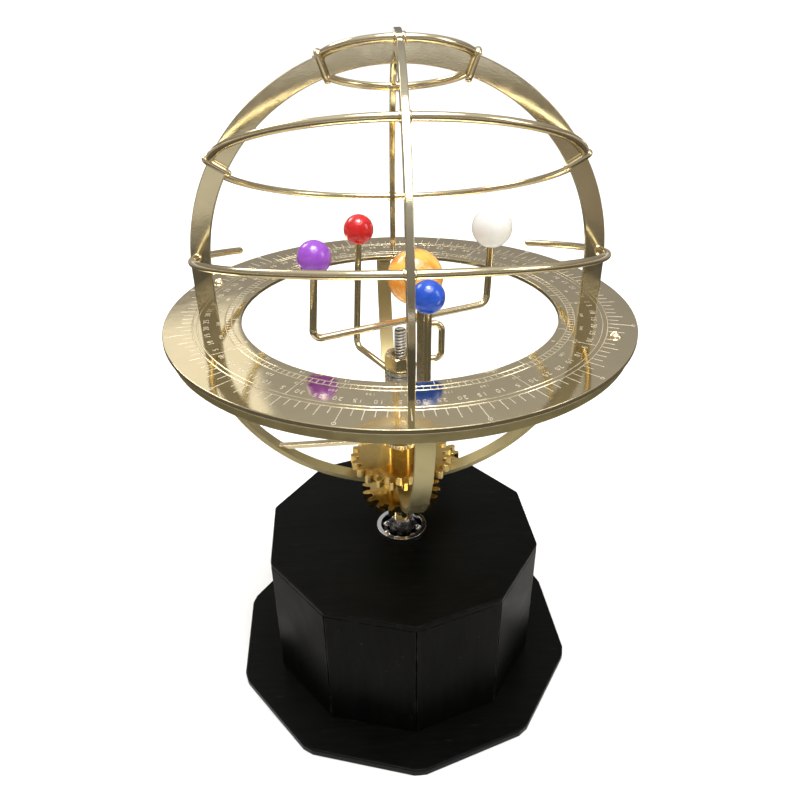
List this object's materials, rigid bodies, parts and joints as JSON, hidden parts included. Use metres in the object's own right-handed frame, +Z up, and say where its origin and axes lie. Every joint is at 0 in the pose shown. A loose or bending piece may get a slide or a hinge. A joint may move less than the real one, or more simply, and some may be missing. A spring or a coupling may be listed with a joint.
{
  "type": "desk orrery",
  "caption": "Desk orrery: an open brass dome and engraved ring on bowl straps, with ball planets on bent wires over a gear column, turning on a ball bearing in a ten-sided black base.",
  "frame": {"origin": "centre of the underside of the base plate, on the spindle axis", "axes": "+Z up along the spindle, -Y towards the viewer, +X to the viewer's right"},
  "size_m": [0.15, 0.15, 0.23],
  "materials": {
    "black_wood": "satin black stain",
    "steel": "bright zinc",
    "bearing_steel": "ground and polished",
    "gear_brass": "polished, deeper yellow",
    "polished_brass": "polished pale gold plate",
    "sun_orange": "marbled amber gloss",
    "purple": "gloss",
    "white": "gloss",
    "red": "gloss",
    "blue": "gloss"
  },
  "bodies": {
    "base": {"base_plate": "black_wood", "side_panels": "black_wood", "base_lid": "black_wood", "bearing_block": "black_wood", "base_screws": "steel", "bearing_outer_race": "bearing_steel", "bearing_balls": "bearing_steel", "bearing_retainer": "bearing_steel"},
    "spindle": {"bearing_inner_race": "bearing_steel", "spindle_rod": "steel", "spindle_sleeve": "steel", "spindle_washers": "steel", "spindle_nuts": "steel", "spindle_spacer": "gear_brass", "lower_gear": "gear_brass"},
    "cage": {"ring_plate": "polished_brass", "ring_backing": "polished_brass", "ring_screws": "polished_brass", "side_band": "polished_brass", "front_band": "polished_brass", "polar_wire": "polished_brass", "tropic_wire": "polished_brass", "equator_wire": "polished_brass", "side_strap": "polished_brass", "front_strap": "polished_brass", "strap_rivets": "polished_brass", "cage_bush": "gear_brass", "lay_arm": "polished_brass", "gear_bridge": "polished_brass"},
    "lay": {"lay_shaft": "steel", "lay_gear": "gear_brass", "lay_pinion": "gear_brass", "lay_collars": "gear_brass"},
    "column": {"planet_tube": "gear_brass", "big_gear": "gear_brass", "arm_washers": "steel", "tube_nut": "gear_brass", "sun_post": "polished_brass", "sun_ball": "sun_orange", "finger_loop": "polished_brass", "cross_wire": "polished_brass", "purple_ball": "purple", "white_ball": "white"},
    "red_arm": {"red_wire": "polished_brass", "red_ball": "red"},
    "blue_arm": {"blue_wire": "polished_brass", "blue_ball": "blue"}
  },
  "joints": [
    {"name": "spindle_turn", "type": "hinge", "parent": "base", "child": "spindle", "pos_m": [0, 0, 0.055], "axis": [0, 0, 1], "continuous": true},
    {"name": "cage_turn", "type": "hinge", "parent": "spindle", "child": "cage", "pos_m": [0, 0, 0.0835], "axis": [0, 0, 1], "continuous": true},
    {"name": "lay_turn", "type": "hinge", "parent": "cage", "child": "lay", "pos_m": [0.01177, 0.02177, 0.09], "axis": [0, 0, 1], "continuous": true},
    {"name": "column_turn", "type": "hinge", "parent": "cage", "child": "column", "pos_m": [0, 0, 0.1], "axis": [0, 0, 1], "continuous": true},
    {"name": "red_arm_turn", "type": "hinge", "parent": "column", "child": "red_arm", "pos_m": [0, 0, 0.122], "axis": [0, 0, 1], "range_deg": [-65, 60]},
    {"name": "blue_arm_turn", "type": "hinge", "parent": "column", "child": "blue_arm", "pos_m": [0, 0, 0.1187], "axis": [0, 0, 1], "range_deg": [-55, 60]}
  ],
  "couplings": [
    {"joint": "lay_turn", "follows": "cage_turn", "ratio": 1.2},
    {"joint": "column_turn", "follows": "cage_turn", "ratio": -0.52174}
  ]
}
